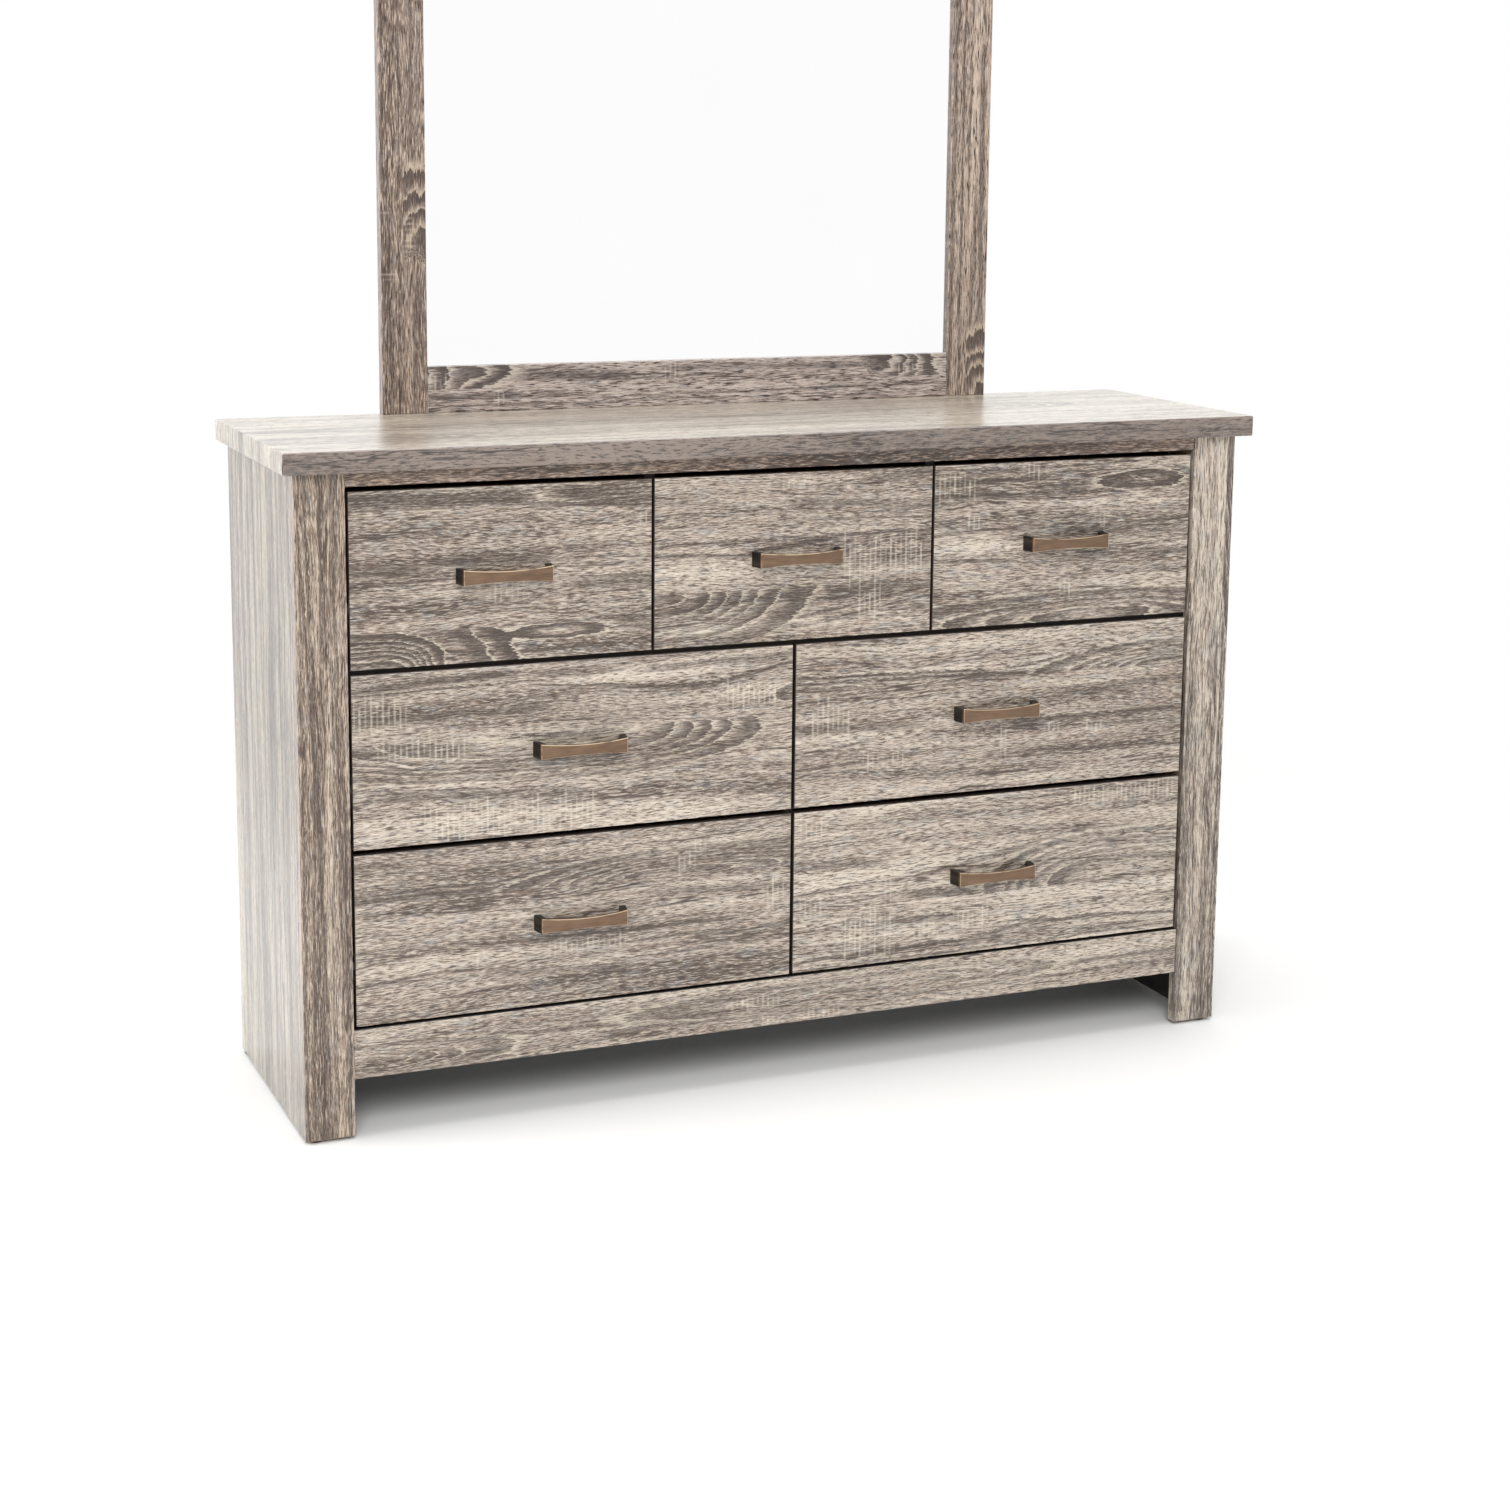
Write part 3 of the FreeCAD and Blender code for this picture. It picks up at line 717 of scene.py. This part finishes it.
def softwood(name):
    wood = newFinish(name)
    x, y, z = wood.place(frameOrigin)
    bend = wood.noise(pineLook["bend"], z, x + y, 1.0, 1.0)
    ring = ((x * 0.8 + y) / pineLook["ring"] + bend * 5).calc("FRACT")
    fibre = wood.noise(pineLook["fibre"], z, x + y, 4.0)
    colour = wood.mix(pineLook["early"], pineLook["late"], wood.fade(ring, 0.35, 0.95) * 0.7)
    return wood.surface({
        "Base Color": wood.mix(colour, pineLook["dark"], wood.fade(fibre, 0.55, 0.75) * 0.4),
        "Roughness": fibre * 0.2 + 0.5,
        "Normal": wood.bump(fibre, 0.2, 0.0003),
    })


zincLook = {
    "drawn": (60, 0.7),
    "cloud": (30, 20),
    "dull": paint(150, 152, 152),
    "bright": paint(206, 208, 206),
}


def zincPlate(name):
    steel = newFinish(name)
    x, y, z = steel.place(frameOrigin)
    drawn = steel.noise(zincLook["drawn"], y, x + z, 1.0)
    cloud = steel.noise(zincLook["cloud"], y, x + z, 3.0, 3.0)
    return steel.surface({
        "Base Color": steel.mix(zincLook["dull"], zincLook["bright"], cloud),
        "Metallic": 1.0,
        "Roughness": drawn * 0.2 + cloud * 0.15 + 0.2,
        "Normal": steel.bump(drawn, 0.1, 0.0002),
    })


glideLook = {
    "pebble": (0.8, 0.8),
    "scuff": (6, 6),
    "base": paint(52, 42, 36),
    "rubbed": paint(82, 68, 60),
}


def glidePlastic(name):
    plastic = newFinish(name)
    x, y, z = plastic.place(frameOrigin)
    pebble = plastic.noise(glideLook["pebble"], x, y + z, 1.0)
    scuff = plastic.fade(plastic.noise(glideLook["scuff"], x, y, 4.0, 3.0), 0.45, 0.7) * 0.6
    return plastic.surface({
        "Base Color": plastic.mix(glideLook["base"], glideLook["rubbed"], scuff),
        "Roughness": pebble * 0.2 + 0.4,
        "Normal": plastic.bump(pebble, 0.2, 0.0002),
    })


mirrorLook = {"film": (160, 220), "dim": paint(250, 250, 250), "bright": paint(254, 254, 254)}


def mirrorSilver(name):
    glass = newFinish(name)
    x, _, z = glass.place(frameOrigin)
    film = glass.noise(mirrorLook["film"], x, z, 2.0, 4.0, 0.6)
    return glass.surface({
        "Base Color": glass.mix(mirrorLook["dim"], mirrorLook["bright"], film),
        "Metallic": 1.0,
        "Roughness": glass.fade(film, 0.45, 0.8) * 0.015 + 0.004,
    })


pullLook = {
    "barDepth": 5.0,
    "bow": 4.5,
    "endStart": 5.6,  # from each end, where the worn edge and its painted highlight start and are full
    "endFull": 4.6,
    "brush": (45, 0.6),
    "patina": (22, 9),
    "face": [
        (0.3, paint(90, 72, 58)), (0.48, paint(120, 98, 80)),
        (0.62, paint(134, 110, 90)), (0.75, paint(154, 130, 110)),
    ],
    "black": paint(26, 23, 21),
    "rubbed": paint(66, 57, 46),
    "wearAndHighlight": paint(214, 192, 164),
    "bolt": paint(190, 190, 186),
}


def agedBronze(body):
    bronze = newFinish("bronze_" + body)
    low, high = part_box(body + "_pull")
    x, y, z = bronze.place(frontMiddle(body + "_pull"))
    _, ny, nz = bronze.facing()
    halfLength = (high.x - low.x) * 500
    span = x / halfLength
    depth = y - span * span * pullLook["bow"]  # behind the bowed face of the bar
    brushed = bronze.noise(pullLook["brush"], x, z, low.x * 9 + low.z * 5, 3.0, 0.65)
    patina = bronze.noise(pullLook["patina"], x, z, low.x * 7 + low.z * 3, 3.0)
    face = bronze.ramp(brushed * 0.65 + patina * 0.35, pullLook["face"])
    black = bronze.mix(pullLook["black"], pullLook["rubbed"], bronze.fade(patina, 0.4, 0.7))
    onLeg = bronze.fade(depth, pullLook["barDepth"] - 1.0, pullLook["barDepth"] + 0.5)
    slant = bronze.fade(abs(nz), 0.3, 0.5) * bronze.fade(abs(nz), 0.95, 0.85)
    chamfer = slant * bronze.fade(ny, 0.0, -0.3)
    ends = bronze.fade(abs(x), halfLength - pullLook["endStart"], halfLength - pullLook["endFull"])
    ends = ends * bronze.fade(ny, -0.4, -0.7)
    # Pale worn bronze on the chamfers and ends, which also paints the highlight those edges catch.
    wearAndHighlight = chamfer.calc("MAXIMUM", ends) * (1 - onLeg) * bronze.fade(patina, 0.3, 0.5)
    boltStart = (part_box(body + "_front")[1].y - low.y) * 1000  # screw heads lie behind the drawer front
    bolt = bronze.fade(y, boltStart - 1, boltStart)
    colour = bronze.mix(face, pullLook["wearAndHighlight"], wearAndHighlight * 0.8)
    colour = bronze.mix(colour, black, onLeg)
    return bronze.surface({
        "Base Color": bronze.mix(colour, pullLook["bolt"], bolt),
        "Metallic": (1 - onLeg * 0.55).calc("MAXIMUM", bolt) * 0.85,
        "Roughness": brushed * 0.25 + onLeg * 0.1 + 0.32,
        "Normal": bronze.bump(brushed, 0.12, 0.0002),
    })


darkBoard = plainBoard("dark_board")
drawerFoil = plainBoard("drawer_foil")
fibreBoard = hardboard("fibre_board")
runnerZinc = zincPlate("runner_zinc")
darkNodes = [
    "rear_top_rail", "rear_bottom_rail", "case_bottom", "drawer_deck",
    "center_partition", "upper_partitions", "mirror_supports",
]
for name in darkNodes:
    dress(name, darkBoard)
for name in ("back_panel", "mirror_backing"):
    dress(name, fibreBoard)
dress("corner_posts", softwood("packing_pine"))
dress("foot_glides", glidePlastic("glide_plastic"))
dress("mirror_glass", mirrorSilver("mirror_silver"))
dress("case_runners", runnerZinc)
for body in drawers:
    dress(body + "_box", drawerFoil)
    dress(body + "_bottom", fibreBoard)
    dress(body + "_runners", runnerZinc)
    dress(body + "_pull", agedBronze(body))
print("boards, metal and mirror finished")


# Fixings on the rear, in millimetres. Their places are x and z.
supportsHigh = boxOf("mirror_supports")[1]
backingLow, backingHigh = boxOf("mirror_backing")
deckHeight = middleOf("drawer_deck").z
railHeight = middleOf("rear_top_rail").z
upperPartitionX = boxOf("upper_partitions")[1].x - boxOf("center_partition")[1].x
supportScrew = {
    "back": supportsHigh.y, "inset": 25.0, "heights": (deckHeight, railHeight, 1060.0, 1480.0), "sides": 24,
    "sink": 0.35, "head": 4.0, "shank": 1.7, "length": 4.2, "tip": 1.2,
    "seat": 4.5, "seatDepth": 4.6, "seatRise": 0.05,
    "arm": 2.3, "half": 0.55, "crossDepth": 1.5, "pitArm": 0.7, "pitHalf": 0.8,
}
panelNail = {
    "back": boxOf("back_panel")[1].y, "sides": 12,
    "rings": [(2.7, -0.2), (2.7, 0.25), (2.1, 0.62), (1.0, 0.85)],  # radius and rise
    "rows": [  # height, places along it
        (108.0, range(-640, 641, 160)),
        (railHeight, range(-640, 641, 160)),
        (deckHeight, range(-560, 561, 160)),
    ],
    "columns": [  # place, heights along it
        (-702.0, range(150, 901, 150)),
        (702.0, range(150, 901, 150)),
        (0.0, range(220, 621, 130)),
        (-upperPartitionX, (720.0, 800.0)),
        (upperPartitionX, (720.0, 800.0)),
    ],
}
backingPoint = {
    "back": backingHigh.y, "thick": 0.7, "width": 10.0, "reach": 9.0, "taper": 0.5,
    "across": range(-360, 361, 144), "up": range(1120, 1721, 150),
}


def circleOf(form, place, radius, y, count):
    turns = [math.tau * step / count for step in range(count)]
    spots = [(place[0] + radius * math.cos(turn), y, place[1] + radius * math.sin(turn)) for turn in turns]
    return [form.verts.new(Vector(spot) / 1000) for spot in spots]


def crossOf(form, place, arm, half, y):
    quarter = [(half, arm), (half, half), (arm, half)]
    spots = []
    for turn in range(4):
        spots += quarter
        quarter = [(b, -a) for a, b in quarter]
    return [form.verts.new(Vector((place[0] + a, y, place[1] + b)) / 1000) for a, b in spots]


def skin(form, one, other):
    for index in range(len(one)):
        ahead = (index + 1) % len(one)
        form.faces.new((one[index], one[ahead], other[ahead], other[index]))


def edgesRound(form, loop):
    return [form.edges.get((loop[index - 1], loop[index])) for index in range(len(loop))]


def newPiece(name, form, material, slot):
    bmesh.ops.recalc_face_normals(form, faces=form.faces)
    mesh = bpy.data.meshes.new(name)
    form.to_mesh(mesh)
    form.free()
    mesh.materials.append(material)
    piece = bpy.data.objects.new(name, mesh)
    bpy.context.scene.collection.objects.link(piece)
    if slot:
        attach(piece, "case")
    return piece


def addScrew(form, place):
    size = supportScrew
    top = size["back"] - size["sink"]
    end = top - size["length"]
    rim = circleOf(form, place, size["head"], top, size["sides"])
    neck = circleOf(form, place, size["shank"], end + size["tip"], size["sides"])
    tip = circleOf(form, place, size["shank"], end, size["sides"])
    skin(form, rim, neck)
    skin(form, neck, tip)
    form.faces.new(tip)
    mouth = crossOf(form, place, size["arm"], size["half"], top)
    pitArm, pitHalf = size["arm"] * size["pitArm"], size["half"] * size["pitHalf"]
    pit = crossOf(form, place, pitArm, pitHalf, top - size["crossDepth"])
    skin(form, mouth, pit)
    form.faces.new(pit)
    loops = edgesRound(form, rim) + edgesRound(form, mouth)
    bmesh.ops.triangle_fill(form, use_beauty=True, use_dissolve=False, edges=loops, normal=(0, 1, 0))


def addSeat(form, place):  # the countersunk hole that a screw lies in
    size = supportScrew
    wide = circleOf(form, place, size["seat"], size["back"] + size["seatRise"], size["sides"])
    deep = circleOf(form, place, size["shank"], size["back"] - size["seatDepth"], size["sides"])
    skin(form, wide, deep)
    form.faces.new(wide)
    form.faces.new(deep)


def buildScrews():
    heads = bmesh.new()
    seats = bmesh.new()
    screwX = supportsHigh.x - supportScrew["inset"]
    for side in (-1, 1):
        for height in supportScrew["heights"]:
            addScrew(heads, (side * screwX, height))
            addSeat(seats, (side * screwX, height))
    newPiece("support_screws", heads, runnerZinc, "runner_steel")
    cutter = newPiece("support_seats", seats, darkBoard, None)
    cutter.hide_render = True
    cutter.hide_viewport = True
    sink = nodes["mirror_supports"].modifiers.new("screw_seats", "BOOLEAN")
    sink.operation = "DIFFERENCE"
    sink.object = cutter


def buildNails():
    form = bmesh.new()
    places = [(x, height) for height, row in panelNail["rows"] for x in row]
    places += [(x, height) for x, column in panelNail["columns"] for height in column]
    for place in places:
        last = None
        for radius, rise in panelNail["rings"]:
            loop = circleOf(form, place, radius, panelNail["back"] + rise, panelNail["sides"])
            if last:
                skin(form, last, loop)
            else:
                form.faces.new(loop)
            last = loop
        form.faces.new(last)
    newPiece("panel_nails", form, runnerZinc, "runner_steel")


def addPoint(form, x, z, outX, outZ):  # a thin steel arrow that holds the backing in its rebate
    half = backingPoint["width"] / 2
    narrow = half * backingPoint["taper"]
    reach = backingPoint["reach"]
    layers = []
    for rise in (0.0, backingPoint["thick"]):
        y = backingPoint["back"] + rise
        spots = [
            (x - outZ * half, z - outX * half),
            (x + outZ * half, z + outX * half),
            (x + outZ * narrow - outX * reach, z + outX * narrow - outZ * reach),
            (x - outZ * narrow - outX * reach, z - outX * narrow - outZ * reach),
        ]
        layers.append([form.verts.new(Vector((a, y, b)) / 1000) for a, b in spots])
    skin(form, *layers)
    form.faces.new(layers[0])
    form.faces.new(layers[1])


def buildPoints():
    form = bmesh.new()
    for x in backingPoint["across"]:
        addPoint(form, x, backingLow.z, 0, -1)
        addPoint(form, x, backingHigh.z, 0, 1)
    for z in backingPoint["up"]:
        addPoint(form, backingLow.x, z, -1, 0)
        addPoint(form, backingHigh.x, z, 1, 0)
    newPiece("backing_points", form, runnerZinc, "runner_steel")


buildScrews()
buildNails()
buildPoints()
print("rear fixings added")


studio = {
    "floorSize": 80.0,  # metres, as are the next two
    "fadeStart": 1.3,
    "fadeEnd": 2.6,
    "floorInk": paint(248, 248, 247),
    "openAir": 0.62,  # strength of the world's light on the object
    "white": (1, 1, 1, 1),
}


def seenByEye(finish):  # 1 for what the camera, metal and glass see
    rays = ("Is Camera Ray", "Is Glossy Ray", "Is Transmission Ray")
    camera, glossy, through = finish.add("ShaderNodeLightPath", {}, {}, out=rays)
    return camera.calc("MAXIMUM", glossy).calc("MAXIMUM", through)


def buildStage():
    half = studio["floorSize"] / 2
    mesh = bpy.data.meshes.new("floor")
    corners = [(-half, -half, 0), (half, -half, 0), (half, half, 0), (-half, half, 0)]
    mesh.from_pydata(corners, [], [(0, 1, 2, 3)])
    floor = bpy.data.objects.new("floor", mesh)
    bpy.context.scene.collection.objects.link(floor)
    paper = newFinish("floor_paper")
    x, y, _ = paper.place(frameOrigin)
    far = (x * x + y * y).calc("SQRT") / 1000
    seen = seenByEye(paper) * paper.fade(far, studio["fadeStart"], studio["fadeEnd"])
    matte = paper.add("ShaderNodeBsdfDiffuse", {}, {"Color": studio["floorInk"]})
    glow = paper.add("ShaderNodeEmission", {}, {"Color": studio["white"], "Strength": 1.0})
    sheet = paper.add("ShaderNodeMixShader", {}, {0: seen, 1: matte, 2: glow})
    paper.add("ShaderNodeOutputMaterial", {}, {"Surface": sheet}, out=())
    mesh.materials.append(paper.owner)


def buildAir():
    world = bpy.data.worlds.new("studio_air")
    bpy.context.scene.world = world
    air = Finish(world)
    strength = seenByEye(air) * (1 - studio["openAir"]) + studio["openAir"]
    glow = air.add("ShaderNodeBackground", {}, {"Color": studio["white"], "Strength": strength})
    air.add("ShaderNodeOutputWorld", {}, {"Surface": glow}, out=())


lampAim = Vector((0, 0, 0.6))
lamps = {
    "front_softbox": {"at": (-1.6, -4.2, 3.4), "size": 2.8, "power": 150.0},
    "left_softbox": {"at": (-3.4, 0.4, 2.2), "size": 2.4, "power": 60.0},
    "top_softbox": {"at": (0.6, 0.2, 4.2), "size": 3.0, "power": 70.0},
}


def buildLamps():
    for name, lamp in lamps.items():
        data = bpy.data.lights.new(name, "AREA")
        data.shape = "DISK"
        data.size = lamp["size"]
        data.energy = lamp["power"]
        light = bpy.data.objects.new(name, data)
        light.location = lamp["at"]
        light.rotation_euler = (lampAim - Vector(lamp["at"])).to_track_quat("-Z", "Y").to_euler()
        bpy.context.scene.collection.objects.link(light)


eye = {
    "at": (-1.52305, -3.66531, 1.39844),
    "turn": 0.3986,  # from straight at the front, towards the right
    "tip": 0.1728,
    "roll": 0.0095,
    "lens": 63.44,
    "sensor": 36.0,
    "shift": -0.1093,
}


def buildCamera():
    data = bpy.data.cameras.new("camera")
    data.lens = eye["lens"]
    data.sensor_width = eye["sensor"]
    data.shift_y = eye["shift"]
    camera = bpy.data.objects.new("camera", data)
    turn, tip, roll = eye["turn"], eye["tip"], eye["roll"]
    ahead = Vector((math.sin(turn) * math.cos(tip), math.cos(turn) * math.cos(tip), -math.sin(tip)))
    right = Vector((math.cos(turn), -math.sin(turn), 0))
    down = ahead.cross(right)
    level = right * math.cos(roll) - down * math.sin(roll)
    drop = right * math.sin(roll) + down * math.cos(roll)
    stand = Matrix((level, -drop, -ahead)).transposed().to_4x4()
    stand.translation = Vector(eye["at"])
    camera.matrix_world = stand
    bpy.context.scene.collection.objects.link(camera)
    bpy.context.scene.camera = camera


buildStage()
buildAir()
buildLamps()
buildCamera()
bpy.context.scene.view_settings.view_transform = "Standard"
print("stage, light and camera set")
